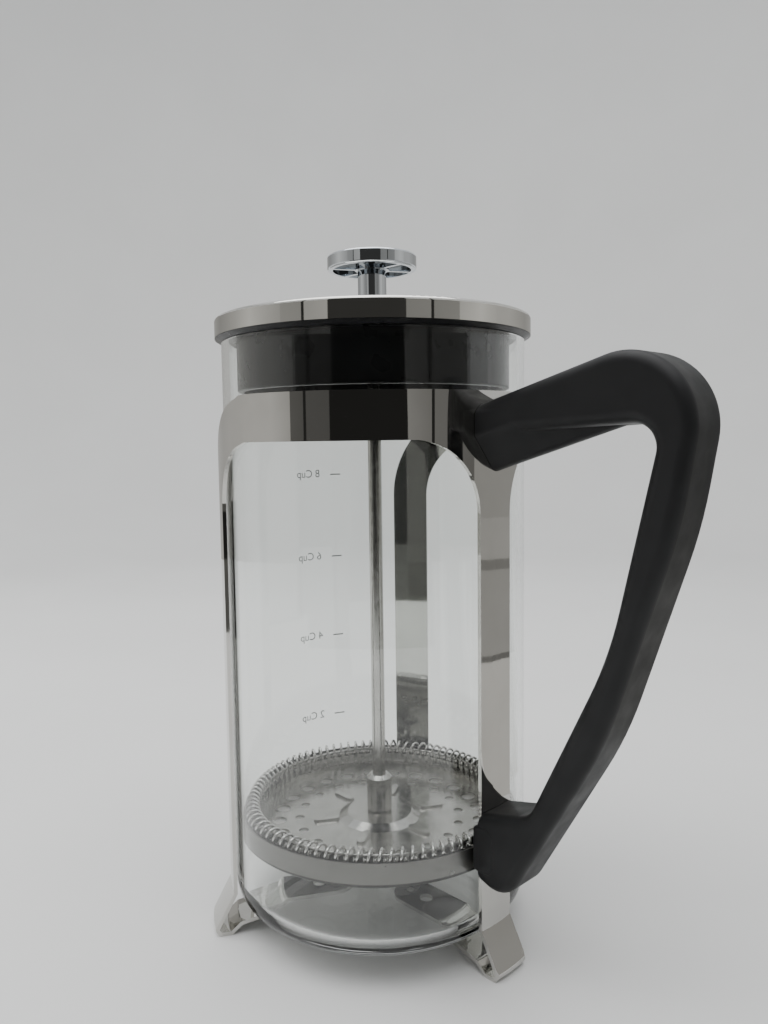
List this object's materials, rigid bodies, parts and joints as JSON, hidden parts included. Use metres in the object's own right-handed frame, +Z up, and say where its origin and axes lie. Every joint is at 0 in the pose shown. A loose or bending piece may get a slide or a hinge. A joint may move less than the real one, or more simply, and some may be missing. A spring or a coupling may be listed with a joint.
{
  "type": "french press",
  "caption": "French press with a glass beaker in a polished steel frame, black loop handle, steel lid and a knobbed plunger with a spring-edged mesh filter.",
  "frame": {"origin": "bottom centre of the whole press, on the plane its feet rest on", "axes": "+Z up along the beaker and plunger, +X from the beaker towards the handle"},
  "size_m": [0.1688, 0.1048, 0.22],
  "materials": {
    "frame_steel": "polished",
    "lid_steel": "polished",
    "knob_chrome": "mirror",
    "rod_steel": "polished",
    "filter_steel": "satin",
    "screen_steel": "woven",
    "black_plastic": "satin",
    "lid_plastic": "semi-gloss",
    "clear_glass": "clear",
    "screw_steel": "plain",
    "insert_brass": "plain"
  },
  "bodies": {
    "frame": {"support_frame": "frame_steel", "handle": "black_plastic", "handle_upper_screw": "screw_steel", "handle_lower_screw": "screw_steel", "handle_thread_inserts": "insert_brass"},
    "beaker": {"beaker": "clear_glass"},
    "lid": {"lid_cap": "lid_steel", "lid_skirt": "lid_plastic"},
    "plunger": {"plunger_knob": "knob_chrome", "knob_insert": "insert_brass", "plunger_rod": "rod_steel", "rod_collar": "rod_steel", "spiral_plate": "filter_steel", "coil_spring": "filter_steel", "mesh_screen": "screen_steel", "cross_plate": "filter_steel", "cross_plate_nut": "screw_steel"}
  },
  "joints": [
    {"name": "beaker_lift", "type": "slide", "parent": "frame", "child": "beaker", "axis": [0, 0, 1], "range_m": [0, 0.18]},
    {"name": "lid_lift", "type": "slide", "parent": "beaker", "child": "lid", "axis": [0, 0, 1], "range_m": [0, 0.17]},
    {"name": "plunger_slide", "type": "slide", "parent": "lid", "child": "plunger", "axis": [0, 0, 1], "range_m": [0, 0.13]}
  ]
}
